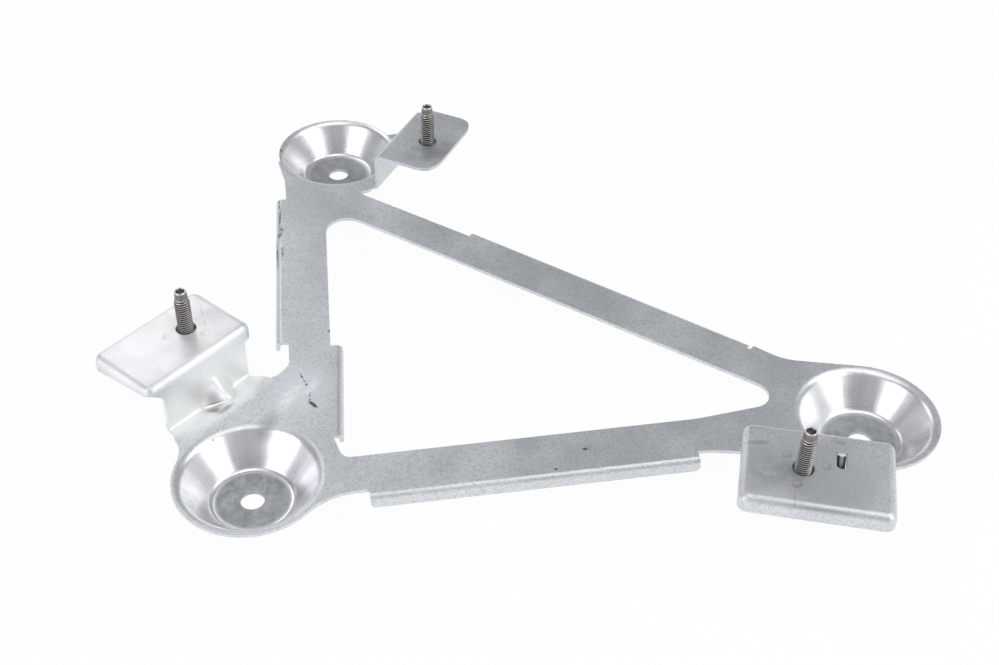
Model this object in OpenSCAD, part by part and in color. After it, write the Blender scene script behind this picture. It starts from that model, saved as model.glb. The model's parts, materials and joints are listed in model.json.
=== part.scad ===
/* [Sheet] */
// Thickness of the pressed steel sheet
sheet_t = 1.5; // [1.2:0.1:2]
// Inside radius of the folds
fold_r = 1; // [0.8:0.1:1.5]

/* [Feet] */
// Distance between the left and right feet
foot_pitch = 232; // [225:1:245]
// Distance of the rear foot to the right of the left foot
rear_foot_x = 45.5; // [42:0.5:50]
// Distance of the rear foot behind the left foot
rear_foot_y = 202.5; // [195:0.5:215]
// Depth of each drawn foot, top face of the frame to top face of the floor
foot_depth = 13; // [11:0.5:14]
// Diameter of the bolt hole in each foot
foot_hole_d = 9; // [6:0.5:11]
// Diameter of the flat floor of each foot
foot_floor_d = 28.4; // [26:0.2:30]
// Radius of the top face where the floor turns up into the wall
foot_floor_r = 2.7; // [2:0.1:3.5]
// Diameter of each foot's mouth, where the frame's flat face begins
foot_mouth_d = 55.2; // [54.6:0.1:56]
// Radius of the top face where the wall turns out into the frame
foot_mouth_r = 4.4; // [3.5:0.1:5]
// Width of the flat rim left round the left and right feet
front_rim_w = 0.4; // [0.3:0.1:1.5]
// Diameter of the trimmed rim round the rear foot
rear_rim_d = 53.5; // [52:0.1:53.8]

/* [Frame] */
// Corner radius of the window behind the left foot
window_left_r = 4; // [3:0.5:6]
// Corner radius of the window at its right tip
window_tip_r = 7.2; // [5:0.2:9]
// Corner radius of the window below the rear foot
window_rear_r = 9; // [6:0.5:12]
// Width of the rear arm between its plain edges
rear_arm_w = 16.2; // [14:0.2:18]

/* [Edge flanges] */
// Drop of the outer flanges below the frame's top face
flange_drop = 5.5; // [5:0.1:8]
// Corner radius at the free corners of the outer flanges
flange_corner_r = 2; // [1:0.5:3]
// Drop of the inner flange below the frame's top face
inner_flange_drop = 5.2; // [5:0.1:7]
// Corner radius at the free corners of the inner flange
inner_flange_corner_r = 3.5; // [1:0.5:4]
// Length of the front flange
front_flange_l = 121.4; // [100:0.2:130]
// Length of the left flange
left_flange_l = 96.5; // [80:0.5:98]
// Length of the rear flange
rear_flange_l = 132; // [110:1:134]
// Length of the inner flange
inner_flange_l = 50.4; // [40:0.2:54]

/* [Raised tabs] */
// Height of the tabs' top faces above the frame's top face
tab_rise = 17; // [14:0.5:22]
// Depth of the rolled rim round the left and right tabs
tab_rim_h = 6.5; // [5.5:0.1:8]
// Outside radius of the tabs' rolled edges
tab_edge_r = 3; // [2.8:0.1:3.6]
// Plan corner radius of the left and right tabs
tab_corner_r = 3.6; // [3.4:0.1:4]
// Width of the left tab along its web
left_tab_w = 51.6; // [51:0.2:56]
// Reach of the left tab outwards from its web
left_tab_reach = 32.6; // [30:0.2:36]
// Distance of the left web from the centre of the left foot
left_web_y = 45; // [44.8:0.1:48]
// Width of the left web
left_web_w = 41; // [38:0.5:41]
// Width of the right tab along its web
right_tab_w = 54; // [50:0.5:60]
// Reach of the right tab outwards from its web
right_tab_reach = 38.5; // [34:0.5:44]
// Length of the lanced tongue in the right tab
tongue_l = 8.2; // [6:0.2:10]
// Width of the lanced tongue in the right tab
tongue_w = 3.6; // [3:0.1:4.5]
// Width of the right web
right_web_w = 43; // [38:0.5:43]
// Width of the rear tab along its web
rear_tab_w = 44; // [41:0.5:48]
// Reach of the rear tab outwards from its web
rear_tab_reach = 29.8; // [27:0.2:34]
// Corner radius at the free corners of the rear tab
rear_tab_corner_r = 9; // [6:0.5:11]
// Width of the rear web
rear_web_w = 40; // [36:0.5:41]
// Drop of the crease at the foot of the left web
crease_drop = 6.5; // [6:0.1:6.8]
// Slope of the skirt down to the crease, in degrees
skirt_slope = 30; // [29:0.5:34]
// Height of the stiffening dart up the left web
dart_up = 11; // [9:0.5:12]
// Reach of the stiffening dart out over the skirt
dart_out = 9.5; // [8:0.5:10]
// Width of the stiffening dart along the crease
dart_w = 14.6; // [12:0.2:16]
// Outside radius of the dart's ridge
dart_r = 3; // [2.4:0.1:3.6]

/* [Weld studs] */
// Thread diameter of the studs
stud_d = 6; // [5:0.5:6.5]
// Standing length of each stud above its tab
stud_l = 18.5; // [14:0.5:24]
// Diameter of the clearance hole round each stud
stud_hole_d = 8; // [7.5:0.1:8.5]
// Diameter of the round weld head below each tab
stud_head_d = 21; // [20:0.5:24]
// Thickness of the weld head
stud_head_t = 2; // [1.5:0.1:3]
// Height of the weld projections between the head and the tab
stud_nib_h = 0.4; // [0.3:0.05:0.6]
// Radius of the ring on which the weld projections stand
stud_nib_ring = 8.2; // [7:0.1:8.4]
// Diameter of each weld projection
stud_nib_d = 3; // [2.4:0.1:3.4]
// Chamfer of the weld head's lower edge
stud_head_edge = 0.4; // [0.2:0.1:0.6]
// Length of the plain tapered tip
stud_tip_l = 3; // [2:0.5:4]
// Diameter of the tapered tip at its end
stud_tip_d = 4.2; // [3.6:0.1:4.6]

/* [Hidden] */
$fn = 48;
arc_steps = 6;
lap = 4;
seam = 0.3;
top_z = foot_depth + sheet_t;
fold_out_r = fold_r + sheet_t;
mouth_r = foot_mouth_d / 2;
web_fold_y = mouth_r + 0.9;
web_y = web_fold_y + fold_r;
web_x0 = 1;
rear_web_x = 17.2;
right_web_x = -1;
tongue_x = 11.7;
tongue_y = 39.2;
tongue_slope = 32;
tongue_gap = 0.25;
skirt_x0 = web_x0 - 14;
skirt_x1 = web_x0 + left_web_w;
tab_z = top_z + tab_rise;
left_tab_x = -5.6;
right_tab_x = -7.5;

// Skirt below the left web: it leaves the flat in a soft curve and ends in the crease
skirt_r = 12;
skirt_curve = skirt_r + sheet_t;
crease_turn = 90 + skirt_slope;
skirt_run = (crease_drop - (skirt_curve + fold_r) * (1 - cos(skirt_slope))) / sin(skirt_slope);
skirt_start = left_web_y - skirt_curve * sin(skirt_slope) - skirt_run * cos(skirt_slope)
    - fold_r * (1 + sin(skirt_slope));
web_foot_z = top_z - crease_drop + fold_r;

left_foot = [0, 0];
right_foot = [foot_pitch, 0];
rear_foot = [rear_foot_x, rear_foot_y];
feet = [left_foot, right_foot, rear_foot];
left_turn = 42;
rear_turn = 237;
right_turn = 161;

// Points on an arc about c, from angle a0 to angle a1
function arc(c, r, a0, a1, steps = arc_steps) =
    [for (i = [0:steps]) c + r * [cos(a0 + (a1 - a0) * i / steps), sin(a0 + (a1 - a0) * i / steps)]];

// Unit vector at angle a, and its left-hand normal
function unit(a) = [cos(a), sin(a)];
function normal(a) = [-sin(a), cos(a)];

// Angle of the line from p to q
function bearing(p, q) = atan2(q[1] - p[1], q[0] - p[0]);

// Tangent arc that replaces the corner b between a and c
function round_corner(a, b, c, r) =
    let (in = bearing(a, b), out = bearing(b, c), turn = ((out - in + 540) % 360) - 180)
    r == 0 || abs(turn) < 1 ? [b] :
    let (side = sign(turn), cut = r * tan(abs(turn) / 2), start = b - cut * unit(in),
         centre = start + side * r * normal(in))
    arc(centre, r, in - side * 90, in - side * 90 + turn, max(2, ceil(abs(turn) / 12)));

// Outline through points given as [position, corner radius]
function rounded(pts) =
    let (n = len(pts))
    [for (i = [0:n - 1]) each round_corner(pts[(i + n - 1) % n][0], pts[i][0], pts[(i + 1) % n][0], pts[i][1])];

// Stations along the upper face of a folded sheet, as [position, heading].
// Each step is [straight run, fold angle, inside radius]; folds up are positive.
function stations(steps, p = [0, 0], h = 0, i = 0) =
    i >= len(steps) ? [[p, h]] :
    let (s = steps[i], q = p + s[0] * unit(h), side = sign(s[1]), r = s[2] + (s[1] < 0 ? sheet_t : 0),
         centre = q + side * r * normal(h), n = max(2, ceil(abs(s[1]) / 15)), h2 = h + s[1])
    concat([[p, h]],
           s[1] == 0 ? [] :
           [for (k = [0:n - 1]) [centre - side * r * normal(h + s[1] * k / n), h + s[1] * k / n]],
           stations(steps, centre - side * r * normal(h2), h2, i + 1));

// Cross-section of a folded sheet as a polygon
function section(steps, p) =
    let (st = stations(steps, p), n = len(st))
    concat([for (s = st) s[0]],
           [for (i = [n - 1:-1:0]) st[i][0] - sheet_t * normal(st[i][1])]);

// Folded strip: the section lies in local y and z, and runs along x from x0 to x1
module folded_strip(steps, start, x0, x1)
    translate([x0, 0, 0]) rotate([90, 0, 90]) linear_extrude(x1 - x0) polygon(section(steps, start));

// Moves children to a foot, with local y pointing outwards along its tab
module at_place(p, z) translate([p[0], p[1], z]) children();
module at_foot(foot, turn)
    translate([foot[0], foot[1], top_z]) rotate([0, 0, turn]) translate([0, 0, -top_z]) children();

// Position in the frame of a local point at a foot
function from_foot(foot, turn, p) = foot + p[0] * unit(turn) + p[1] * normal(turn);

// Wall of a drawn foot: its tangent angle follows from the depth and the two radii
mouth_centre = [mouth_r, top_z - foot_mouth_r];
floor_centre = [foot_floor_d / 2, sheet_t + foot_floor_r];
wall_gap = mouth_centre - floor_centre;
wall_turn = atan2(wall_gap[1], wall_gap[0]) + asin((foot_mouth_r + foot_floor_r) / norm(wall_gap));

module drawn_foot()
    rotate_extrude($fn = 72)
        polygon(concat(
            [[foot_hole_d / 2, sheet_t]],
            arc(floor_centre, foot_floor_r, -90, wall_turn - 90),
            arc(mouth_centre, foot_mouth_r, wall_turn + 90, 90),
            arc(mouth_centre, foot_mouth_r - sheet_t, 90, wall_turn + 90),
            arc(floor_centre, foot_floor_r + sheet_t, wall_turn - 90, -90),
            [[foot_hole_d / 2, 0]]));

// Window: its corners keep their places relative to the feet
window_tip = right_foot + [-25.9, 12.2];
window_kink = right_foot + [-64, 6.9];
window_rear = rear_foot + [-8.2, -42];
window_notch = left_foot + [31.4, 15];
rear_arm_turn = bearing(window_tip, window_rear);
left_arm_turn = bearing(window_notch, window_rear);
inner_root = left_foot + [32.5, 16.3];
inner_turn = 86.1;

window = rounded([
    [left_foot + [34, 4.4], window_left_r],
    [window_kink, 40],
    [window_tip, window_tip_r],
    [window_rear, window_rear_r],
    [window_notch, 0.6]]);

// Roots of the outer flanges, where their folds begin
front_turn = 0.9;
front_root = left_foot + [42.3, -14];
front_root_end = front_root + front_flange_l * unit(front_turn);
left_flange_turn = left_arm_turn;
left_root_end = rear_foot + [-27, -35];
left_root = left_root_end - left_flange_l * unit(left_flange_turn);
rear_root_end = right_foot + [-34, 44.2];
rear_root = rear_root_end + rear_flange_l * unit(rear_arm_turn);

outline = rounded([
    [left_foot + [12, -16], 0],
    [left_foot + [19.5, -20.1], 0],
    [left_foot + [27.2, -12.6], 26],
    [front_root_end + [0, 2.3], 0],
    [from_foot(right_foot, right_turn, [57, 30]), 8],
    [from_foot(right_foot, right_turn, [right_web_x + right_web_w + 2, web_fold_y - seam]), 0],
    [from_foot(right_foot, right_turn, [right_web_x - 0.8, web_fold_y - seam]), 0],
    [right_foot + [10, 10], 0],
    [right_foot + [7.2, 27.05], 0],
    [right_foot + [-21.8, 34.8], 20],
    [rear_root_end + 1.7 * unit(rear_arm_turn - 90) - 2 * unit(rear_arm_turn), 0.5],
    [rear_root_end - 1 * unit(rear_arm_turn - 90) - 1.6 * unit(rear_arm_turn), 0.4],
    [rear_root + 1.4 * normal(rear_arm_turn) - 6 * unit(rear_arm_turn), 0],
    [window_rear + rear_arm_w * unit(rear_arm_turn - 90) - 9 * unit(rear_arm_turn), 1],
    [rear_foot + [8, -33.8], 0.8],
    [from_foot(rear_foot, rear_turn, [rear_web_x + 2.6, web_fold_y - seam]), 1],
    [from_foot(rear_foot, rear_turn, [rear_web_x - rear_web_w - 0.8, web_fold_y - seam]), 0],
    [from_foot(rear_foot, rear_turn, [-25, 18]), 0],
    [rear_foot + [-8, 8], 0],
    [rear_foot + [-27.3, -5], 0],
    [rear_foot + [-25, -20], 12],
    [left_root_end + [2, 2.5], 0],
    [left_root + [2.6, 0], 0],
    [left_foot + [17, 57.5], 5],
    [from_foot(left_foot, left_turn, [43, 30.4]), 4],
    [from_foot(left_foot, left_turn, [skirt_x1 - 0.6, 32]), 0],
    [from_foot(left_foot, left_turn, [skirt_x1 - 0.6, left_web_y + 6]), 0],
    [from_foot(left_foot, left_turn, [web_x0, left_web_y + 6]), 0],
    [left_foot + [-24.5, 18], 14],
    [left_foot + [-27, 4], 0]]);

// Outline of the flat sheet and its three rims, as a solid from z0 up
module blank(z0, h) {
    translate([0, 0, z0]) linear_extrude(h) polygon(outline);
    at_place(left_foot, z0) cylinder(r = mouth_r + front_rim_w, h = h);
    at_place(right_foot, z0) cylinder(r = mouth_r + front_rim_w, h = h);
    at_place(rear_foot, z0) cylinder(d = rear_rim_d, h = h);
}

// Space that a folded strip or an edge flange takes out of the flat sheet
module strip_space(foot, turn, x0, x1, y0)
    at_foot(foot, turn) translate([x0, y0, 0]) cube([x1 - x0, 10 * lap, 2 * top_z]);
module flange_space(root, turn, l)
    at_foot(root, turn) translate([0, -3 * lap, 0]) cube([l, 4 * lap, 2 * top_z]);

module flat() difference() {
    blank(top_z - sheet_t, sheet_t);
    translate([0, 0, top_z - 2 * sheet_t]) linear_extrude(3 * sheet_t) polygon(window);
    strip_space(left_foot, left_turn, skirt_x0, skirt_x1, skirt_start - lap);
    strip_space(right_foot, right_turn, right_web_x, right_web_x + right_web_w, web_fold_y - lap);
    strip_space(rear_foot, rear_turn, rear_web_x - rear_web_w, rear_web_x, web_fold_y - lap);
    flange_space(front_root, front_turn, front_flange_l);
    flange_space(rear_root_end, rear_arm_turn, rear_flange_l);
    flange_space(left_root_end, left_flange_turn + 180, left_flange_l);
    flange_space(inner_root, inner_turn, inner_flange_l);
}

// The flat sheet with everything that is folded from its edges, pierced for the feet
module open_frame() difference() {
    union() {
        flat();
        intersection() {
            at_foot(left_foot, left_turn)
                folded_strip([[lap, -skirt_slope, skirt_r], [skirt_run, crease_turn, fold_r], [1, 0, 0]],
                             [skirt_start - lap, top_z], skirt_x0, skirt_x1);
            blank(-1, 2 * top_z);
        }
        at_foot(right_foot, right_turn)
            folded_strip([[lap, 90, fold_r], [1, 0, 0]],
                         [web_fold_y - lap, top_z], right_web_x, right_web_x + right_web_w);
        at_foot(rear_foot, rear_turn)
            folded_strip([[lap, 90, fold_r], [tab_rise - 2 * fold_r - sheet_t, -90, fold_r], [1, 0, 0]],
                         [web_fold_y - lap, top_z], rear_web_x - rear_web_w, rear_web_x);
        edge_flange(front_root, front_turn, front_flange_l, flange_drop, flange_corner_r);
        edge_flange(rear_root_end, rear_arm_turn, rear_flange_l, flange_drop, flange_corner_r);
        edge_flange(left_root_end, left_flange_turn + 180, left_flange_l, flange_drop, flange_corner_r);
        edge_flange(inner_root, inner_turn, inner_flange_l, inner_flange_drop, inner_flange_corner_r);
    }
    for (foot = feet)
        at_place(foot, 0) cylinder(r = mouth_r, h = 2 * top_z);
}

module drawn_feet() intersection() {
    for (foot = feet)
        at_place(foot, 0) drawn_foot();
    blank(-1, 2 * top_z);
}

// Down flange along a root line; the outside lies to the right of the line
module edge_flange(root, turn, l, drop, corner_r)
    translate([root[0], root[1], top_z]) rotate([0, 0, turn]) {
        rotate([90, 0, 90]) mirror([1, 0, 0]) linear_extrude(l)
            polygon(concat(
                [[-lap, 0]], arc([0, -fold_out_r], fold_out_r, 90, 0), arc([0, -fold_out_r], fold_r, 0, 90),
                [[-lap, -sheet_t]]));
        free_r = min(corner_r, drop - fold_out_r - 0.1);
        translate([0, -fold_r, 0]) rotate([90, 0, 0]) linear_extrude(sheet_t)
            polygon(rounded([
                [[0, -fold_out_r], 0],
                [[0, -drop], free_r],
                [[l, -drop], free_r],
                [[l, -fold_out_r], 0]]));
    }

// Rimmed tab: a pan swept round a rectangle that starts at local [x0, 0]
module rimmed_tab(x0, w, reach) {
    inner_r = tab_corner_r - tab_edge_r;
    edge = concat(
        [[0, 0]], arc([0, -tab_edge_r], tab_edge_r, 90, 0), [[tab_edge_r, -tab_rim_h]],
        [[tab_edge_r - sheet_t, -tab_rim_h]], arc([0, -tab_edge_r], tab_edge_r - sheet_t, 0, 90));
    pan = concat([[0, 0]], [for (p = edge) p + [inner_r, 0]], [[0, -sheet_t]]);
    size = [w - 2 * tab_corner_r, reach - 2 * tab_corner_r];
    translate([x0 + tab_corner_r, tab_corner_r, tab_z]) {
        translate([0, 0, -sheet_t]) cube([size[0], size[1], sheet_t]);
        for (i = [0:3])
            translate([i == 1 || i == 2 ? size[0] : 0, i > 1 ? size[1] : 0, 0]) rotate([0, 0, 90 * i]) {
                rotate([0, 0, 180]) rotate_extrude(angle = 90) polygon(pan);
                rotate([90, 0, 90]) mirror([1, 0, 0]) linear_extrude(size[i % 2]) polygon(pan);
            }
    }
}

// Web below a rimmed tab, spreading in two small curves into the rim above
module web_plate(x0, w, z0, left_flare, right_flare)
    translate([0, sheet_t, 0]) rotate([90, 0, 0]) linear_extrude(sheet_t) {
        z1 = tab_z - tab_rim_h;
        polygon(concat(
            [[x0, z0], [x0 + w, z0]],
            arc([x0 + w + right_flare, z1 - right_flare + seam], right_flare, 180, 90),
            [[x0 + w + right_flare, z1 + 1], [x0 - left_flare, z1 + 1]],
            arc([x0 - left_flare, z1 - left_flare + seam], left_flare, 90, 0)));
    }

// Pressed stiffening dart across the crease, hollow from behind
dart_x = 24.3;
dart_slope = atan2(dart_up - dart_out * tan(skirt_slope), dart_out);
dart_half = atan(dart_w / 2 / (dart_up * cos(dart_slope)));

module dart_wedge(r)
    translate([dart_x, left_web_y, top_z - crease_drop + dart_up]) rotate([dart_slope, 0, 0])
        rotate([90, 0, 0]) translate([0, -dart_r, -30]) linear_extrude(60)
            polygon(concat(
                [r * unit(dart_half) + 30 * [sin(dart_half), -cos(dart_half)]],
                arc([0, 0], r, dart_half, 180 - dart_half, 8),
                [r * unit(180 - dart_half) + 30 * [-sin(dart_half), -cos(dart_half)]]));

module dart_ridge() intersection() {
    dart_wedge(dart_r);
    rotate([90, 0, 90]) translate([0, 0, dart_x - dart_w]) linear_extrude(2 * dart_w)
        polygon([
            [left_web_y + sheet_t / 2, top_z - crease_drop - sheet_t / 4],
            [left_web_y + sheet_t / 2, top_z],
            [left_web_y + sheet_t / 2, top_z - crease_drop + dart_up],
            [left_web_y - dart_out - 2, top_z - crease_drop + dart_up],
            [left_web_y - dart_out - 2,
             top_z - crease_drop - sheet_t / 2 + (dart_out + 2) * tan(skirt_slope)]]);
}

module dart_hollow() intersection() {
    dart_wedge(dart_r - sheet_t);
    translate([dart_x - dart_w, left_web_y - 2 * dart_out, 0])
        cube([2 * dart_w, 2 * dart_out + sheet_t + 1, tab_z]);
}

module left_tab() at_foot(left_foot, left_turn) translate([0, left_web_y, 0]) {
    rimmed_tab(left_tab_x, left_tab_w, left_tab_reach);
    web_plate(web_x0, left_web_w - 0.4, web_foot_z + seam, 2.8, 0.4);
}

module right_tab() at_foot(right_foot, right_turn) translate([0, web_y, 0]) {
    rimmed_tab(right_tab_x, right_tab_w, right_tab_reach);
    web_plate(right_web_x, right_web_w, top_z + fold_r + seam, 2, 2);
}

// Lanced tongue in the right tab: rooted on the foot's side and pressed down at its round end
module tongue_slot()
    translate([tongue_x, tongue_y, tab_z - 2 * sheet_t]) linear_extrude(3 * sheet_t)
        polygon(concat(
            [[-tongue_w / 2, 0], [tongue_w / 2, 0]],
            arc([0, tongue_l - tongue_w / 2], tongue_w / 2, 0, 180, 8)));

module tongue() intersection() {
    folded_strip([[0.6, -tongue_slope, 2], [tongue_l, 0, 0]], [tongue_y - 0.5, tab_z],
                 tongue_x - tongue_w / 2 + tongue_gap, tongue_x + tongue_w / 2 - tongue_gap);
    translate([tongue_x, tongue_y, tab_z - 4 * sheet_t]) linear_extrude(5 * sheet_t)
        polygon(concat(
            [[-tongue_w / 2, -0.6], [tongue_w / 2, -0.6]],
            arc([0, tongue_l - tongue_w / 2 - tongue_gap], tongue_w / 2 - tongue_gap / 2, 0, 180, 8)));
}

module rear_tab() at_foot(rear_foot, rear_turn) translate([0, web_y, 0]) {
    x1 = rear_web_x;
    tab_fold_y = fold_out_r + seam;
    translate([0, 0, tab_z - sheet_t]) linear_extrude(sheet_t) polygon(rounded([
        [[x1, tab_fold_y], 0],
        [[x1, rear_tab_reach], rear_tab_corner_r],
        [[x1 - rear_tab_w, rear_tab_reach], rear_tab_corner_r],
        [[x1 - rear_tab_w, tab_fold_y], 0.6]]));
}

// Stud places, each in the local frame of its tab
left_stud = from_foot(left_foot, left_turn, [27.9, 62.1]);
rear_stud = from_foot(rear_foot, rear_turn, [-3.2, 45.8]);
right_stud = from_foot(right_foot, right_turn, [25, 49.6]);

module pressed_frame() color("LightSteelBlue") {
    difference() {
        union() {
            open_frame();
            drawn_feet();
            left_tab();
            right_tab();
            rear_tab();
            at_foot(left_foot, left_turn) dart_ridge();
        }
        at_foot(left_foot, left_turn) dart_hollow();
        at_foot(right_foot, right_turn) tongue_slot();
        for (p = [left_stud, rear_stud, right_stud])
            translate([p[0], p[1], tab_z - 2 * sheet_t]) cylinder(d = stud_hole_d, h = 3 * sheet_t);
    }
    at_foot(right_foot, right_turn) tongue();
}

module weld_stud(p, nib_turn) color("DimGray") translate([p[0], p[1], tab_z - sheet_t]) {
    body_l = sheet_t + stud_l - stud_tip_l;
    difference() {
        rotate_extrude()
            polygon([
                [0, -stud_nib_h - stud_head_t],
                [stud_head_d / 2 - stud_head_edge, -stud_nib_h - stud_head_t],
                [stud_head_d / 2, -stud_nib_h - stud_head_t + stud_head_edge],
                [stud_head_d / 2, -stud_nib_h],
                [stud_d / 2, -stud_nib_h],
                [stud_d / 2, body_l],
                [stud_tip_d / 2 + 0.3, body_l + 1.2],
                [stud_tip_d / 2, body_l + stud_tip_l],
                [0, body_l + stud_tip_l]]);
        translate([0, 0, body_l + stud_tip_l - 1.5]) cylinder(d1 = 0.8, d2 = stud_tip_d - 0.8, h = 1.51);
    }
    for (a = [0, 120, 240])
        rotate([0, 0, nib_turn + a]) translate([stud_nib_ring, 0, -stud_nib_h]) cylinder(d = stud_nib_d, h = stud_nib_h);
}

module weld_stud_rear() weld_stud(rear_stud, 100);
module weld_stud_left() weld_stud(left_stud, 91);
module weld_stud_right() weld_stud(right_stud, 117);

pressed_frame();
weld_stud_rear();
weld_stud_left();
weld_stud_right();
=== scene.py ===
# %% [markdown]
# # A pressed steel mounting bracket
#
# The object is one sheet of zinc-coated steel, 1.5 mm thick, cut, drawn and folded in a press.
# It is a triangle of three arms with a deep drawn cup at each corner, and at each cup a raised
# tab carries a welded M6 stud.
# The scene takes the measured model as a fixed frame and dresses it: the sheet gets its soft
# pressed forms, the studs get their threads, and both get the metal finishes of the real part.
# Blender counts in metres, and `MM` turns the millimetres of a drawing into them.

# %% Loading the frame
import math
import json
import bpy
import bmesh
from mathutils import Matrix, Vector

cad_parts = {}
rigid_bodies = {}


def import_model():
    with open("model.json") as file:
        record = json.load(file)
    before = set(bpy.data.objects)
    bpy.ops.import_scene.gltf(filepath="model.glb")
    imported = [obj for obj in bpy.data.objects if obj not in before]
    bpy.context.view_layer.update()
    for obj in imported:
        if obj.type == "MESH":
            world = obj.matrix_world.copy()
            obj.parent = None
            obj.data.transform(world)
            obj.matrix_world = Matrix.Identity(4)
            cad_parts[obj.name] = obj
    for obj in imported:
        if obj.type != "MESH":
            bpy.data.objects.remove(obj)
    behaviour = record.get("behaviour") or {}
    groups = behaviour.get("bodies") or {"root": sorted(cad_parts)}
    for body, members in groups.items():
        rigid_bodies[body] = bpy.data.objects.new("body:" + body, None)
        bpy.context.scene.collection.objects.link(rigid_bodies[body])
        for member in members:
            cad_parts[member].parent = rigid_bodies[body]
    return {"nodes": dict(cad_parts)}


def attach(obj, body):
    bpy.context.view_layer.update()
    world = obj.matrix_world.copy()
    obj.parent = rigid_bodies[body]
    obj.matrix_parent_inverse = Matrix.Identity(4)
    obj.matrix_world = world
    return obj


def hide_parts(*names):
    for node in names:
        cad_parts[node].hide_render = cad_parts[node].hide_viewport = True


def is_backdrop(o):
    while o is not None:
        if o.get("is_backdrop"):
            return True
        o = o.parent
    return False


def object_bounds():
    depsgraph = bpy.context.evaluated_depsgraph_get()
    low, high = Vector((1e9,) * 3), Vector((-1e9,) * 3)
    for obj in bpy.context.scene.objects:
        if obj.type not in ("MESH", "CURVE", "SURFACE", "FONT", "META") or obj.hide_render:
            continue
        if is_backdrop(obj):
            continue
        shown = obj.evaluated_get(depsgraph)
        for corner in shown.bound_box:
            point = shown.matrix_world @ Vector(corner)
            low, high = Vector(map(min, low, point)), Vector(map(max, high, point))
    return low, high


for leftover in list(bpy.data.objects):
    bpy.data.objects.remove(leftover)

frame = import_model()
cad_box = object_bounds()
MM = 0.001
print("nodes:", sorted(frame["nodes"]))

# %% [markdown]
# ## The camera
#
# A camera can be placed by eye, or solved from known points. Here it was solved: the three bolt
# holes and the corners of the tabs fix where the lens stood, how far it looked down, and how
# long it was. The result is written as a place, a heading, a downward pitch and a small roll.

# %% Camera
CAMERA_PLACE = Vector((27.24, -373.04, 402.63)) * MM
HEADING, LOOK_DOWN, ROLL = (math.radians(a) for a in (80.43, 41.105, 1.315))
LENS_PIXELS, PICTURE_PIXELS = 1469.77, 999
SENSOR = 36

camera_data = bpy.data.cameras.new("camera")
camera = bpy.data.objects.new("camera", camera_data)
bpy.context.scene.collection.objects.link(camera)
bpy.context.scene.camera = camera

level = math.cos(LOOK_DOWN)
forward = Vector((math.cos(HEADING) * level, math.sin(HEADING) * level, -math.sin(LOOK_DOWN)))
right = Vector((math.sin(HEADING), -math.cos(HEADING), 0))
up = right.cross(forward)
right_rolled = right * math.cos(ROLL) + up * math.sin(ROLL)
up_rolled = up * math.cos(ROLL) - right * math.sin(ROLL)
turned_view = Matrix((right_rolled, up_rolled, -forward)).transposed().to_4x4()
camera.matrix_world = Matrix.Translation(CAMERA_PLACE) @ turned_view
camera_data.sensor_width = SENSOR
camera_data.lens = SENSOR * LENS_PIXELS / PICTURE_PIXELS
camera_data.clip_start, camera_data.clip_end = 0.01, 20
print("camera at", [round(c, 3) for c in camera.location], "lens", round(camera_data.lens, 2))

# %% [markdown]
# ## Nodes from Python
#
# The room, the floor and both metals are graphs of shader nodes. Each node would take several
# lines, so a few helpers make one, join two sockets, do a sum, step smoothly from one range of
# values to another, and blend two shaders. `remap` uses Smoothstep, because a mask with a
# straight ramp shows a crease where the ramp begins.

# %% Helpers that make and join nodes
def add_node(tree, kind, **settings):
    """One node, with its properties set by name and its inputs by their labels."""
    made = tree.nodes.new("ShaderNode" + kind)
    for name, value in settings.items():
        if hasattr(made, name):
            setattr(made, name, value)
        else:
            made.inputs[name.replace("_", " ")].default_value = value
    return made


def new_material(name):
    """An empty node material, with its output node."""
    material = bpy.data.materials.new(name)
    material.use_nodes = True
    material.node_tree.nodes.clear()
    return material, material.node_tree, material.node_tree.nodes.new("ShaderNodeOutputMaterial")


def link(tree, source, target):
    """Joins the first output of a node, or an output socket, to an input socket."""
    tree.links.new(source.outputs[0] if hasattr(source, "outputs") else source, target)


# %% Helpers that calculate
def maths(tree, operation, first, second, clamp=False):
    """A Math node on sockets, nodes or plain numbers."""
    made = add_node(tree, "Math", operation=operation)
    made.use_clamp = clamp
    for i, value in enumerate((first, second)):
        if isinstance(value, (int, float)):
            made.inputs[i].default_value = value
        else:
            link(tree, value, made.inputs[i])
    return made


def remap(tree, value, low, high, to_low=0.0, to_high=1.0):
    """A smooth step from one range to another."""
    made = add_node(tree, "MapRange", interpolation_type="SMOOTHSTEP")
    link(tree, value, made.inputs["Value"])
    for label, number in (("From Min", low), ("From Max", high), ("To Min", to_low), ("To Max", to_high)):
        made.inputs[label].default_value = number
    return made


def blend_shaders(tree, share, under, over, output):
    """Sends a blend of two shaders to the output node."""
    blend = add_node(tree, "MixShader")
    for i, source in enumerate((share, under, over)):
        link(tree, source, blend.inputs[i])
    link(tree, blend, output.inputs["Surface"])


# %% [markdown]
# ## Floor and room
#
# Small metal parts are photographed on white paper. The floor is one wide plane. Its material
# is plain white paper for the light, and mostly plain white for the camera and for reflections,
# so that the ground stays white and still holds a faint shadow.
# Behind the object the paper rises in a sweep, so the room is white just above the horizon and
# grey higher up: bends and rims that lean back mirror the sweep as thin white lines.

# %% Floor
FLOOR_HALF = 3.0
PAPER = (0.92, 0.92, 0.92, 1)
PLAIN_SHARE = 0.95


def studio_floor(half_size):
    """A wide white plane under the object."""
    bm = bmesh.new()
    bmesh.ops.create_grid(bm, x_segments=1, y_segments=1, size=half_size)
    mesh = bpy.data.meshes.new("floor")
    bm.to_mesh(mesh)
    bm.free()
    floor = bpy.data.objects.new("floor", mesh)
    bpy.context.scene.collection.objects.link(floor)
    floor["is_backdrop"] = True
    return floor


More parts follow.
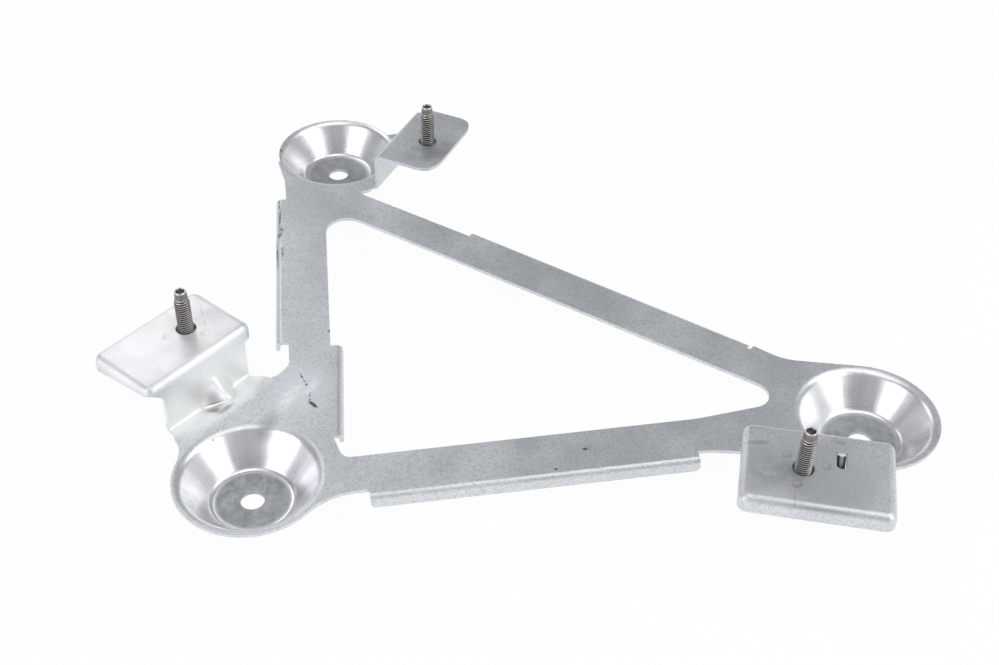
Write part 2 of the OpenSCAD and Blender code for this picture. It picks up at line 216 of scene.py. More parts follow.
floor = studio_floor(FLOOR_HALF)
paper, tree, output = new_material("white_paper")
ray = add_node(tree, "LightPath").outputs
seen = maths(tree, "MAXIMUM", ray["Is Camera Ray"], ray["Is Glossy Ray"])
seen = maths(tree, "MAXIMUM", seen, ray["Is Transmission Ray"])
matt = add_node(tree, "BsdfDiffuse", Color=PAPER)
white = add_node(tree, "Emission", Color=(1, 1, 1, 1), Strength=1.0)
blend_shaders(tree, maths(tree, "MULTIPLY", seen, PLAIN_SHARE), matt, white, output)
floor.data.materials.append(paper)
print("floor:", 2 * FLOOR_HALF, "m wide,", PLAIN_SHARE, "of plain white")

# %% Room
ROOM_GREY, ROOM_STRENGTH = (0.97, 0.985, 1.0, 1), 0.33
SWEEP_LOW, SWEEP_HIGH = 0.06, 0.36

world = bpy.data.worlds.new("room")
bpy.context.scene.world = world
world.use_nodes = True
tree = world.node_tree
tree.nodes.clear()
way = add_node(tree, "SeparateXYZ")
link(tree, add_node(tree, "TexCoord").outputs["Generated"], way.inputs[0])
sweep = remap(tree, way.outputs["Z"], SWEEP_LOW, SWEEP_HIGH, 1.0, 0.0)
plain = maths(tree, "MAXIMUM", add_node(tree, "LightPath").outputs["Is Camera Ray"], sweep)
room = add_node(tree, "Background", Color=ROOM_GREY, Strength=ROOM_STRENGTH)
backdrop = add_node(tree, "Background", Color=(1, 1, 1, 1), Strength=1.0)
blend_shaders(tree, plain, room, backdrop, tree.nodes.new("ShaderNodeOutputWorld"))
print("room: white up to", round(math.degrees(math.asin(SWEEP_LOW)), 1), "degrees above the horizon")

# %% [markdown]
# ## Soft boxes
#
# Bare metal shows what it reflects, so the places of the lamps matter more than their power.
# The walls of the cups tell where they stood: a strong box to the front right, a larger one to
# the front left with a dark gap between them, and a small one behind the left tab. One high on
# the right is mirrored by the left web and the skirt, and a large one hangs overhead.
# Area lamps are used and not spots, because a wide lamp makes the soft edges of such a box.

# %% Lamps
def soft_box(name, at, towards, size, watts, colour=(1, 1, 1)):
    """A square area lamp of a given size, aimed at a point. Places are in metres."""
    lamp = bpy.data.lights.new(name, "AREA")
    lamp.shape = "SQUARE"
    lamp.size = size
    lamp.energy = watts
    lamp.color = colour
    holder = bpy.data.objects.new(name, lamp)
    bpy.context.scene.collection.objects.link(holder)
    holder.location = at
    holder.rotation_euler = (Vector(towards) - Vector(at)).to_track_quat("-Z", "Y").to_euler()


MIDDLE, BEHIND_LEFT_TAB = (0.1, 0.07, 0.02), (-0.02, 0.06, 0.03)
soft_box("box_right", (0.86, -0.50, 0.60), MIDDLE, 0.62, 2.9)
soft_box("box_left", (-0.85, -0.42, 0.55), MIDDLE, 0.80, 4.3, (0.96, 0.94, 1.0))
soft_box("box_high_right", (0.69, 0.04, 0.76), MIDDLE, 0.50, 1.5)
soft_box("box_back_left", (-0.16, 0.50, 0.42), BEHIND_LEFT_TAB, 0.26, 0.40)
soft_box("box_above", (0.1, -0.1, 1.5), MIDDLE, 1.0, 4.0)

# %% [markdown]
# ## The pressed sheet
#
# The real bracket is pressed from one flat blank, so it is one closed skin with an even wall.
# It could be built again from planes and folds, but the frame already holds every bend at its
# measured size. A copy of that mesh is merged into one skin, and only the places that a press
# leaves soft are worked on: the dart in the left web, the rim of the left tab, and the small
# marks that welding leaves in the tabs.

# %% Merging a copy of the frame's mesh
# In millimetres and in degrees.
MERGE_DISTANCE, FLAT_ANGLE = 0.002, 0.3


def merged_copy(node):
    """The loose triangles of a node as one closed skin, with flat areas as single faces."""
    bm = bmesh.new()
    bm.from_mesh(frame["nodes"][node].data)
    bmesh.ops.remove_doubles(bm, verts=bm.verts[:], dist=MERGE_DISTANCE * MM)
    bmesh.ops.dissolve_limit(bm, angle_limit=math.radians(FLAT_ANGLE), verts=bm.verts[:], edges=bm.edges[:],
                             use_dissolve_boundaries=False, delimit={"NORMAL"})
    return bm


sheet = merged_copy("pressed_frame")
open_edges = sum(1 for e in sheet.edges if len(e.link_faces) != 2)
print("sheet:", len(sheet.faces), "faces,", open_edges, "open edges")

# %% [markdown]
# ## Places on the bracket
#
# Each tab was folded at its own angle, so its details are easiest to give in the foot's own
# millimetres: the bolt hole is the origin, and y runs outwards along the tab. One matrix for
# each foot takes such a point to its place in metres.

# %% Feet, heights and their matrices
FEET = {"left": (0, 0), "rear": (45.5, 202.5), "right": (232, 0)}
TURNS = {"left": 42, "rear": 237, "right": 161}
FRAME_TOP, TAB_TOP = 14.5, 31.5


def at_foot(foot, turn):
    """The matrix that takes a foot's own millimetres, with y outwards along its tab, to metres."""
    shift = Matrix.Translation(Vector((foot[0], foot[1], 0)) * MM)
    return shift @ Matrix.Rotation(math.radians(turn), 4, "Z") @ Matrix.Scale(MM, 4)


def held(share):
    """A share kept between 0 and 1."""
    return max(0.0, min(1.0, share))


def within(point, low, high):
    """Whether a point lies inside a box."""
    return all(a < c < b for a, c, b in zip(low, point, high))


PLACES = {name: at_foot(FEET[name], TURNS[name]) for name in FEET}
print("feet at", {name: [round(c, 4) for c in place.translation] for name, place in PLACES.items()})

# %% [markdown]
# ## Small corrections of the outline
#
# Three places of the blank's outline are a millimetre or two off the real sheet: the tip of the
# window, the far end of the rear tab, and the corner where the skirt starts below the left web.
# The sheet's edge is a wall of upright faces, so moving the points of both skins together moves
# the edge and nothing else. Each move fades out smoothly, and no bend is touched.

# %% Moving parts of the outline
WINDOW_TIP, TIP_SHIFT = ((180, 3, 10), (201.5, 27, 16)), 2.0
REAR_TAB_END, REAR_SHIFT = ((-45, 55, 28), (30, 80, 40)), 1.3
SKIRT_CORNER, SKIRT_START, SKIRT_GROWTH = ((-9, 34, -1), (1, 53, 12.5)), -4.9, 5.6


def ease(value, low, high):
    """0 below low, 1 above high, smooth between."""
    t = held((value - low) / (high - low))
    return t * t * (3 - 2 * t)


def move_outline(bm):
    """Shifts the window tip, the rear tab's end and the skirt's left corner. Returns the counts."""
    counts = [0, 0, 0]
    to_rear, to_left = PLACES["rear"].inverted(), PLACES["left"].inverted()
    for v in bm.verts:
        rear, left = to_rear @ v.co, to_left @ v.co
        if within(v.co / MM, *WINDOW_TIP):
            v.co.x += TIP_SHIFT * MM * ease(v.co.x / MM, 181, 190)
            counts[0] += 1
        elif within(rear, *REAR_TAB_END):
            v.co -= PLACES["rear"].to_3x3() @ Vector((0, REAR_SHIFT * ease(rear.y, 55, 60), 0))
            counts[1] += 1
        elif within(left, *SKIRT_CORNER):
            least = SKIRT_START + SKIRT_GROWTH * held((left.y - 34) / 9)
            if left.x < least:
                v.co += PLACES["left"].to_3x3() @ Vector((least - left.x, 0, 0))
                counts[2] += 1
    return counts


print("outline points moved:", move_outline(sheet))

# %% [markdown]
# ## More points, but only where they are needed
#
# A bend that continues into a flat needs more points before it can be softened, but only there.
# `bisect_plane` cuts faces along a plane. When it is given only the faces inside a small box, the
# rest of the sheet keeps its large flat faces, which render cleaner than a fine grid.

# %% Helpers that cut a local grid
def faces_in_box(bm, matrix, low, high):
    """The faces that touch a box given in local millimetres."""
    inverse = matrix.inverted()
    found = []
    for face in bm.faces:
        points = [inverse @ v.co for v in face.verts]
        if all(min(p[i] for p in points) < high[i] and max(p[i] for p in points) > low[i] for i in range(3)):
            found.append(face)
    return found


def cut(bm, matrix, low, high, axis, value):
    """Cuts the faces that touch a box along one plane across a local axis."""
    normal = Vector([1.0 if i == axis else 0.0 for i in range(3)])
    faces = faces_in_box(bm, matrix, low, high)
    edges = list({e for f in faces for e in f.edges})
    corners = list({v for f in faces for v in f.verts})
    bmesh.ops.bisect_plane(bm, geom=faces + edges + corners, dist=1e-7, plane_co=matrix @ (normal * value),
                           plane_no=(matrix.to_3x3() @ normal).normalized())


def refine(bm, matrix, low, high, step, axes=(0, 1)):
    """Cuts the sheet inside a box into cells of about one step."""
    for axis in axes:
        for value in (low[axis], high[axis]):
            cut(bm, matrix, low, high, axis, value)
    for axis in axes:
        count = max(1, round((high[axis] - low[axis]) / step))
        for i in range(1, count):
            cut(bm, matrix, low, high, axis, low[axis] + (high[axis] - low[axis]) * i / count)


# %% [markdown]
# ## The dart in the left web
#
# Where the left web meets the sloping skirt, the press pushes a small dart across the crease,
# which keeps the web from folding back. On the real sheet it is a rounded hump with soft flanks.
# In the frame it is a crisp three-sided ridge, so its faces are cut into cells and relaxed with
# `smooth_vert`, which moves each point towards its neighbours. Both skins of the wall are
# relaxed together, so the wall keeps its thickness. The real hump also runs out further over
# the skirt, to the left, so a small swelling is added there first.

# %% Helpers that swell and relax
def swell(bm, matrix, centre, radius, lift):
    """Raises the points round a centre by a soft hump along a direction, both skins alike."""
    inverse = matrix.inverted()
    for v in bm.verts:
        far = ((inverse @ v.co) - centre).length
        if far < 2.2 * radius:
            v.co += matrix.to_3x3() @ (lift * math.exp(-(far / radius) ** 2))


def relax(bm, matrix, centre, reach, rounds, shrink=0.35):
    """Smooths the points nearest to a centre the most, and those at its reach the least."""
    inverse = matrix.inverted()
    distance = {v: max(abs(((inverse @ v.co) - centre)[i]) / reach[i] for i in range(3)) for v in bm.verts}
    for k in range(rounds):
        limit = 1 - shrink * k / rounds
        near = [v for v in bm.verts if distance[v] < limit]
        bmesh.ops.smooth_vert(bm, verts=near, factor=0.5, use_axis_x=True, use_axis_y=True, use_axis_z=True)
    return len(near)


# %% Softening the dart
DART, DART_REACH = Vector((24.3, 40.5, 12.5)), (11.5, 10.8, 10.5)
DART_BOX, DART_CELL = ((12, 29, 3.5), (37, 47.5, 23.5)), 1.0
HUMP, HUMP_RADIUS, HUMP_LIFT = Vector((21.6, 36.8, 14.4)), 3.0, Vector((0, -0.7, 1.3))

refine(sheet, PLACES["left"], *DART_BOX, DART_CELL, axes=(0, 1, 2))
swell(sheet, PLACES["left"], HUMP, HUMP_RADIUS, HUMP_LIFT)
print("dart:", relax(sheet, PLACES["left"], DART, DART_REACH, 12), "points in the last round")

# %% [markdown]
# ## The rim of the left tab
#
# The left tab is a shallow pan with a rolled rim. Beside the web the sheet had to stretch, so
# the rim is less deep at the near left corner than at the far one. The lower points of the rim
# are lifted in proportion to how close they lie to that corner, which keeps the roll above.

# %% Tapering the rim
RIM_BOX, RIM_LIFT = ((-6.2, 44.5, 24), (5, 79, 28.6)), 3.4


def taper_rim(bm, matrix):
    """Lifts the rim's lower edge, the most at the near left corner."""
    inverse = matrix.inverted()
    moved = 0
    for v in bm.verts:
        p = inverse @ v.co
        if within(p, *RIM_BOX):
            near = held((76 - p.y) / 30) if p.x < -2.2 else 1.0
            side = held((0.6 - p.x) / 4.5)
            deep = held((28.6 - p.z) / 3.6)
            v.co.z += RIM_LIFT * MM * near * side * deep
            moved += 1
    return moved


print("rim:", taper_rim(sheet, PLACES["left"]), "points lifted")

# %% [markdown]
# ## The lanced tongue
#
# The right tab has a narrow tongue, cut on three sides and pushed down at its round end. It is
# seen from its steep side, so its angle decides how dark the slot looks. The frame holds it at
# a gentle slope, and here its free part is turned further about the line where it bends.

# %% Bending the tongue
TONGUE_ROOT = Vector((11.7, 39.3, TAB_TOP - 0.7))
TONGUE_WIDTH, TONGUE_LENGTH, TONGUE_TURN = 3.6, 8.2, 15


def bend_tongue(bm, matrix, root, width, length, degrees):
    """Turns the free part of the tongue down about the root line."""
    inverse = matrix.inverted()
    round_centre = root.y + length - width / 2
    turned_down = []
    for v in bm.verts:
        p = inverse @ v.co
        across, beyond = abs(p.x - root.x), p.y - round_centre
        inside = across < width / 2 - 0.16 if beyond < 0 else math.hypot(across, beyond) < width / 2 - 0.06
        if inside and p.y > root.y + 0.5 and root.z - 8 < p.z < root.z - 0.05:
            turned_down.append(v)
    axis = (matrix.to_3x3() @ Vector((1, 0, 0))).normalized()
    turn = Matrix.Rotation(math.radians(-degrees), 3, axis)
    bmesh.ops.rotate(bm, verts=turned_down, cent=matrix @ root, matrix=turn)
    return len(turned_down)


bent = bend_tongue(sheet, PLACES["right"], TONGUE_ROOT, TONGUE_WIDTH, TONGUE_LENGTH, TONGUE_TURN)
print("tongue:", bent, "points turned")

# %% [markdown]
# ## Weld marks
#
# Each stud stands on a head below the tab. Three small projections between head and tab were
# melted by the welding current, and each leaves a shallow round print on the upper side, where
# the electrode pressed. The prints are real dents here: the tab is cut into small cells round
# each one, and the points sink by a tenth of a millimetre in a smooth bowl.

# %% Studs and their weld marks
# For each stud: its place in its foot's millimetres, and the angle of its first weld in degrees.
STUDS = {"left": (27.9, 62.1, 91), "rear": (-3.2, 45.8, 100), "right": (25.0, 49.6, 117)}
MARK_RING, MARK_BOX, MARK_CELL = 8.2, ((-2.2, -2.2, -0.2), (2.2, 2.2, 0.2)), 0.44
DENT_R, DENT_DEPTH = 2.0, 0.11
LIP_R, LIP_WIDTH, LIP_HEIGHT = 1.7, 0.2, 0.03


def press_mark(bm, mark):
    """One shallow bowl with a faint raised lip."""
    refine(bm, Matrix.Translation(mark) @ Matrix.Scale(MM, 4), *MARK_BOX, MARK_CELL)
    for v in bm.verts:
        far = (v.co - mark).length / MM
        if far < DENT_R:
            bowl = DENT_DEPTH * MM * (1 - (far / DENT_R) ** 2) ** 2
            lip = LIP_HEIGHT * MM * math.exp(-((far - LIP_R) / LIP_WIDTH) ** 2)
            v.co.z -= bowl - lip


def ring_of_three(first):
    """Three steps from a stud's axis to its welds, the first at a given angle in degrees."""
    angles = [math.radians(first + 120 * k) for k in range(3)]
    return [Vector((math.cos(a), math.sin(a), 0)) * MARK_RING * MM for a in angles]


stud_at, weld_marks = {}, []
for name, (x, y, first) in STUDS.items():
    stud_at[name] = PLACES[name] @ Vector((x, y, TAB_TOP))
    for step in ring_of_three(first):
        weld_marks.append(stud_at[name] + step)
        press_mark(sheet, weld_marks[-1])
print("weld marks:", len(weld_marks), " sheet now", len(sheet.faces), "faces")

# %% [markdown]
# ## Smooth bends beside flat faces
#
# Shading across a bend and a large flat needs care. With plain smooth shading the flat would
# look dished, because its border points lean towards the bend. The Weighted Normal modifier
# gives the large faces the last word, so flats stay flat and bends stay round. Cut edges are
# marked sharp by their angle, apart from those on the softened dart.

# %% Finishing the sheet's mesh
SHEET_SHARP, STUD_SHARP, SOFT_REACH = 35, 40, 12


def finish_mesh(bm, name, sharp_angle, soft_place=None):
    """Turns a bmesh into an object with smooth faces and sharp cut edges, but none at a soft place."""
    for face in bm.faces:
        face.smooth = True
    for edge in bm.edges:
        soft = soft_place and all((v.co - soft_place).length < SOFT_REACH * MM for v in edge.verts)
        sharp = len(edge.link_faces) == 2 and edge.calc_face_angle(0) > math.radians(sharp_angle)
        edge.smooth = bool(soft or not sharp)
    mesh = bpy.data.meshes.new(name)
    bm.to_mesh(mesh)
    bm.free()
    made = bpy.data.objects.new(name, mesh)
    bpy.context.scene.collection.objects.link(made)
    weights = made.modifiers.new("flat_faces_first", "WEIGHTED_NORMAL")
    weights.mode = "FACE_AREA"
    weights.weight = 100
    weights.keep_sharp = True
    return made


pressed_sheet = finish_mesh(sheet, "pressed_sheet", SHEET_SHARP, PLACES["left"] @ DART)
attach(pressed_sheet, "root")
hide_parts("pressed_frame")
print("pressed sheet:", len(pressed_sheet.data.vertices), "points")

# %% [markdown]
# ## The studs
#
# Each stud is an M6 screw with a round weld head. A thread is a small profile that travels
# along a helix. `spin` does exactly that when it is given a shift for each step: the profile
# holds every tooth of the thread, turns once, and climbs by one pitch, so that the end of each
# tooth meets the start of the next. The plain tapered tip has a small hollow, as a cold-headed
# stud has. Thread, tip, head and welds are closed shells that reach into each other.

# %% A helper that turns a profile
def turned(bm, profile, steps=40, climb=0.0):
    """Spins a profile of (radius, height) points in millimetres about the z axis."""
    points = [bm.verts.new((r * MM, 0, z * MM)) for r, z in profile]
    edges = [bm.edges.new(pair) for pair in zip(points, points[1:])]
    bmesh.ops.spin(bm, geom=points + edges, cent=(0, 0, 0), axis=(0, 0, 1), dvec=(0, 0, climb * MM / steps),
                   angle=math.radians(360), steps=steps, use_merge=climb == 0, use_duplicate=False)


# %% Threaded shank
PITCH, TEETH, THREAD_START = 1.0, 19, -3.4
CREST_R, ROOT_R = 3.0, 2.34
SHANK_TOP = 15.6
TAPER_START, TAPER_SLOPE = SHANK_TOP - 2.6, 0.22


def thread_profile(z0, turns):
    """Teeth with small flats at crest and root."""
    points = []
    for k in range(turns):
        z = z0 + k * PITCH
        points += [(ROOT_R, z), (ROOT_R, z + 0.16), (CREST_R, z + 0.42), (CREST_R, z + 0.62)]
    return points + [(ROOT_R, z0 + turns * PITCH)]


def threaded_shank(bm):
    """The thread, closed at both ends and drawn in at the top so that it melts into the tip."""
    turned(bm, thread_profile(THREAD_START, TEETH), climb=PITCH)
    bmesh.ops.remove_doubles(bm, verts=bm.verts[:], dist=0.004 * MM)
    ends = [edge for edge in bm.edges if edge.is_boundary]
    bmesh.ops.holes_fill(bm, edges=ends, sides=0)
    for v in bm.verts:
        radius = Vector((v.co.x, v.co.y)).length / MM
        limit = CREST_R - max(0.0, v.co.z / MM - TAPER_START) * TAPER_SLOPE
        if radius > limit:
            v.co.x *= limit / radius
            v.co.y *= limit / radius


print("thread:", len(thread_profile(THREAD_START, TEETH)), "points in the profile")

# %% Tip, head and projections
TIP = [(0.0, -0.8), (2.30, -0.8), (2.46, 0.0), (2.40, 0.9), (2.32, 1.8), (2.25, 2.3), (2.12, 2.66),
       (1.94, 2.84), (1.76, 2.8), (1.6, 2.55), (1.35, 1.9), (0.8, 1.4), (0.0, 1.25)]
HEAD = [(0.0, -3.9), (9.9, -3.9), (10.3, -3.78), (10.5, -3.5), (10.5, -2.1), (10.36, -1.93), (10.1, -1.9),
        (3.7, -1.9), (3.25, -1.8), (2.98, -1.5), (2.6, -1.1), (0.0, -1.1)]
NIB = [(0.0, -2.0), (1.5, -2.0), (1.45, -1.7), (1.2, -1.53), (0.0, -1.5)]


def projections(bm, first):
    """Three low domes that carried the welding current."""
    for step in ring_of_three(first):
        start = len(bm.verts)
        turned(bm, NIB, steps=24)
        bm.verts.ensure_lookup_table()
        bmesh.ops.translate(bm, verts=bm.verts[start:], vec=step)


# %% Building the three studs
def weld_stud(name, first):
    """One stud with its thread, tip, head and projections, at its place in the frame."""
    bm = bmesh.new()
    threaded_shank(bm)
    turned(bm, [(r, SHANK_TOP + z) for r, z in TIP])
    turned(bm, HEAD, steps=64)
    projections(bm, first)
    bmesh.ops.remove_doubles(bm, verts=bm.verts[:], dist=0.003 * MM)
    bmesh.ops.recalc_face_normals(bm, faces=bm.faces[:])
    bmesh.ops.translate(bm, verts=bm.verts[:], vec=stud_at[name])
    made = finish_mesh(bm, "threaded_stud_" + name, STUD_SHARP)
    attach(made, "root")
    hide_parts("weld_stud_" + name)
    return made


studs = {name: weld_stud(name, STUDS[name][2]) for name in STUDS}
print("studs:", {name: len(o.data.polygons) for name, o in studs.items()})

# %% [markdown]
# ## Zinc-coated sheet
#
# Zinc on steel is a pale blue-grey metal that is neither mirror nor paint. Its look comes from
# three scales: a fine grain in the coating, cloudy patches a few centimetres wide, and what
# pressing and handling did to it. Some places also carry painted highlights and painted shade.
# All patterns read Object coordinates in metres, so the same grain has the same size
# everywhere, with no seams and no unwrapping.

# %% Helpers for patterns
def noise(tree, position, scale, detail=2.0, roughness=0.5):
    """Noise in the object's own metres: a scale of 1000 is a grain of about a millimetre."""
    made = add_node(tree, "TexNoise", Scale=scale, Detail=detail, Roughness=roughness)
    link(tree, position, made.inputs["Vector"])
    return made


def patch(tree, position, centre, half, turn=0.0, soft=0.5):
    """1 inside an ellipsoid given in millimetres, falling softly to 0 outside."""
    place = add_node(tree, "Mapping", vector_type="TEXTURE")
    link(tree, position, place.inputs["Vector"])
    place.inputs["Location"].default_value = Vector(centre) * MM
    place.inputs["Rotation"].default_value = (0, 0, math.radians(turn))
    place.inputs["Scale"].default_value = Vector(half) * MM
    length = add_node(tree, "VectorMath", operation="LENGTH")
    link(tree, place, length.inputs[0])
    return remap(tree, length.outputs["Value"], 1 - soft, 1 + soft, 1.0, 0.0)


def most(tree, factors):
    """The largest of several factors."""
    total = factors[0]
    for factor in factors[1:]:
        total = maths(tree, "MAXIMUM", total, factor)
    return total


def patches(tree, position, rows):
    """Several patches as one mask. A row is a centre, half sizes, a turn and a softness."""
    return most(tree, [patch(tree, position, *row) for row in rows])


# %% Helpers for colours
def tint(tree, factor, under, over):
    """Mixes a colour or a colour socket over another by a factor."""
    made = add_node(tree, "Mix", data_type="RGBA")
    link(tree, factor, made.inputs["Factor"])
    for label, value in (("A", under), ("B", over)):
        socket = [s for s in made.inputs if s.name == label and s.type == "RGBA"][0]
        if isinstance(value, tuple):
            socket.default_value = (*value, 1)
        else:
            tree.links.new(value, socket)
    return [s for s in made.outputs if s.type == "RGBA"][0]


def lay(tree, colour, mask, strength, over):
    """Lays a second colour over the first inside a mask, at a strength between 0 and 1."""
    return tint(tree, maths(tree, "MULTIPLY", mask, strength), colour, over)


def broken(tree, mask, position, scale, low, high, detail=2.0, roughness=0.5):
    """A mask with gaps wherever a noise lies below its limits."""
    grains = noise(tree, position, scale, detail, roughness)
    return maths(tree, "MULTIPLY", mask, remap(tree, grains, low, high))


# %% Grain and clouds
ZINC_GREY, ZINC_PALE = (0.65, 0.68, 0.71), (0.745, 0.765, 0.785)
SPECK_GREY, GRAIN_WHITE = (0.52, 0.555, 0.60), (0.93, 0.95, 0.96)

zinc, tree, output = new_material("zinc_coated_sheet")
where = add_node(tree, "TexCoord").outputs["Object"]
grain = noise(tree, where, 2400, 6, 0.75)
speck = noise(tree, where, 850, 4, 0.65)
cloud = noise(tree, where, 38, 3, 0.55)

colour = tint(tree, remap(tree, cloud, 0.3, 0.7), ZINC_GREY, ZINC_PALE)
colour = tint(tree, remap(tree, speck, 0.44, 0.64, 0.0, 0.75), colour, SPECK_GREY)
colour = tint(tree, remap(tree, grain, 0.50, 0.62, 0.0, 0.75), colour, GRAIN_WHITE)
print("zinc: grain, specks and clouds in", len(tree.nodes), "nodes")

# %% [markdown]
# ## Drawn cups
#
# A cup was drawn from the flat, so its wall is polished in fine lines that run down towards the
# floor, and the pattern follows them. The direction from the cup's axis to a point is the same
# along one straight line down the wall, so noise that reads only this direction gives radial
# streaks. Noise that reads only the radius gives the faint rings round the floor, and masks on
# height and radius keep both in the cup.

# %% Helpers for round parts
def round_axis(tree, position, centre):
    """For an upright axis: the step across from it, the distance and the height, as sockets."""
    offset = add_node(tree, "VectorMath", operation="SUBTRACT")
    link(tree, position, offset.inputs[0])
    offset.inputs[1].default_value = centre
    split = add_node(tree, "SeparateXYZ")
    link(tree, offset, split.inputs[0])
    across = add_node(tree, "CombineXYZ")
    for axis in "XY":
        link(tree, split.outputs[axis], across.inputs[axis])
    radius = add_node(tree, "VectorMath", operation="LENGTH")
    link(tree, across, radius.inputs[0])
    return across.outputs[0], radius.outputs["Value"], split.outputs["Z"]


def until(tree, distance, full, gone):
    """1 up to one number of millimetres, 0 beyond another."""
    return remap(tree, distance, full * MM, gone * MM, 1, 0)


def from_mm(tree, distance, none, full):
    """0 up to one number of millimetres, 1 beyond another."""
    return remap(tree, distance, none * MM, full * MM)


# %% Masks of a cup
def cup_parts(tree, position, foot):
    """Masks for a cup's wall and its floor disc, the direction from its axis and the distance."""
    across, radius, height = round_axis(tree, position, Vector((foot[0], foot[1], 0)) * MM)
    direction = add_node(tree, "VectorMath", operation="NORMALIZE")
    link(tree, across, direction.inputs[0])
    inside = until(tree, radius, 26.6, 28.6)
    disc = until(tree, radius, 12.6, 14.6)
    below_top = until(tree, height, 13.6, 14.6)
    wall = maths(tree, "MULTIPLY", maths(tree, "SUBTRACT", inside, disc, clamp=True), below_top)
    return wall, disc, direction, radius


# %% Finish of the cups, with painted shade on their floors
WALL_DARK, WALL_LIGHT, WALL_LINES = (0.78, 0.77, 0.78), (0.93, 0.93, 0.945), (0.66, 0.66, 0.69)
RING_GREY, DISC_DARK, DISC_GREY = (0.5, 0.5, 0.53), (0.30, 0.315, 0.335), (0.47, 0.485, 0.505)
DISC_STRENGTH = {"left": 0.94, "rear": 0.78, "right": 0.78}

walls = []
for name, foot in FEET.items():
    wall, disc, direction, radius = cup_parts(tree, where, foot)
    streaks = remap(tree, noise(tree, direction, 5.0, 5, 0.6), 0.30, 0.58)
    lines = remap(tree, noise(tree, direction, 42.0, 3, 0.6), 0.4, 0.65, 0.0, 0.2)
    shade = tint(tree, lines, tint(tree, streaks, WALL_DARK, WALL_LIGHT), WALL_LINES)
    around = add_node(tree, "CombineXYZ")
    link(tree, radius, around.inputs["X"])
    rings = broken(tree, until(tree, radius, 16.5, 20.5), around, 2600, 0.42, 0.6)
    colour = lay(tree, colour, wall, 0.85, lay(tree, shade, rings, 0.4, RING_GREY))
    # The floor discs get painted shade, since the far wall hides the bright room from them. A noise mottles
    # that shade, and each cup has its own strength of it.
    disc_shade_mottle = remap(tree, noise(tree, where, 260, 5, 0.7), 0.36, 0.66)
    colour = lay(tree, colour, disc, DISC_STRENGTH[name], tint(tree, disc_shade_mottle, DISC_DARK, DISC_GREY))
    walls.append(wall)
print("zinc: with the cups in", len(tree.nodes), "nodes")

# %% [markdown]
# ## Places of their own colour, and painted light
#
# The rest of the colour belongs to places. Some of it is painted light: the left tab, its web and
# its skirt are painted lighter as a painted highlight, with painted shade where the skirt meets
# the flat, a painted highlight runs along a fold of the right tab, and a dark cloud beside the
# right stud is a painted reflection. The top of the right tab is darker round its stud, and the
# frame carries a few dark specks, a scratch near the left cup and smears on the long left bend.
# Each is a soft patch at its measured place, broken up by noise. It could be painted on an
# image, but a patch made of nodes stays sharp at any distance.

# %% Painted light and shade round the left tab
TAB_WHITE, TAB_MOTTLE, WEB_WHITE = (0.975, 0.98, 0.98), (0.87, 0.87, 0.90), (0.975, 0.985, 0.975)
ROOT_BLUE, FOLD_GREY = (0.83, 0.88, 0.93), (0.40, 0.42, 0.44)


def at(foot, x, y, z):
    """Millimetres in the frame for a point in a foot's own millimetres."""
    return tuple(c / MM for c in PLACES[foot] @ Vector((x, y, z)))


# Painted highlight: the left tab, its web and its skirt are painted lighter, with a mottle.
tab_painted_light = patch(tree, where, at("left", 21, 62, 31), (33, 20, 7), TURNS["left"], 0.3)
web_painted_light = patch(tree, where, at("left", 21, 41, 14), (27, 11, 17), TURNS["left"], 0.35)
mottle = remap(tree, noise(tree, where, 150, 3, 0.6), 0.42, 0.66, 0.0, 0.5)
colour = lay(tree, colour, tab_painted_light, 0.8, tint(tree, mottle, TAB_WHITE, TAB_MOTTLE))
colour = lay(tree, colour, web_painted_light, 0.88, WEB_WHITE)
root_light = patch(tree, where, (21.0, 43.0, FRAME_TOP), (11, 13, 4), -20, 0.6)
colour = lay(tree, colour, root_light, 0.65, ROOT_BLUE)
# Painted shade where the skirt meets the flat.
fold_shade = patch(tree, where, (5.6, 21.8, 13.6), (2.8, 9.0, 3), -25.5, 0.8)
colour = lay(tree, colour, fold_shade, 0.75, FOLD_GREY)
print("zinc: with the light places in", len(tree.nodes), "nodes")

# %% [markdown]
# On the real part the dart's ridge is bright and its flanks are grey. Lamps alone would shade a
# form this small too weakly, so two groups of patches, one along the ridge and one along the
# flanks, help the light with a little colour.

# %% Shading of the dart
FLANK_GREY, RIDGE_WHITE = (0.40, 0.40, 0.41), (1.0, 1.0, 1.0)
flank = patches(tree, where, [
    (at("left", 20.6, 41.5, 10.5), (2.7, 4.0, 4.6), TURNS["left"], 0.5),
    (at("left", 16.3, 37.0, 12.2), (1.5, 5.5, 3.5), TURNS["left"], 0.7),
    (at("left", 18.5, 32.6, 14.2), (3.6, 1.3, 2.5), TURNS["left"], 0.7)])
ridge = patches(tree, where, [
    (at("left", 24.6, 41.0, 16.2), (0.9, 4.6, 5.0), TURNS["left"], 0.5),
    (at("left", 22.4, 35.6, 15.0), (1.3, 3.0, 2.4), TURNS["left"] - 25, 0.5)])
colour = lay(tree, colour, flank, 0.85, FLANK_GREY)
colour = lay(tree, colour, ridge, 0.9, RIDGE_WHITE)
print("zinc: with the dart in", len(tree.nodes), "nodes")

# %% Dull right tab and a painted highlight on its fold
DULL_GREY, FOLD_WHITE = (0.55, 0.565, 0.59), (0.90, 0.91, 0.92)
dull_tab = patch(tree, where, at("right", 24, 54, TAB_TOP), (26, 18, 3), TURNS["right"], 0.3)
colour = lay(tree, colour, dull_tab, 0.55, DULL_GREY)
# Painted highlight along the rolled left edge of the right tab.
fold_painted_highlight = patch(tree, where, (172.2, -34.1, TAB_TOP), (1.6, 17, 3), -11.1, 0.7)
colour = lay(tree, colour, fold_painted_highlight, 0.35, FOLD_WHITE)
print("zinc: with the right tab in", len(tree.nodes), "nodes")

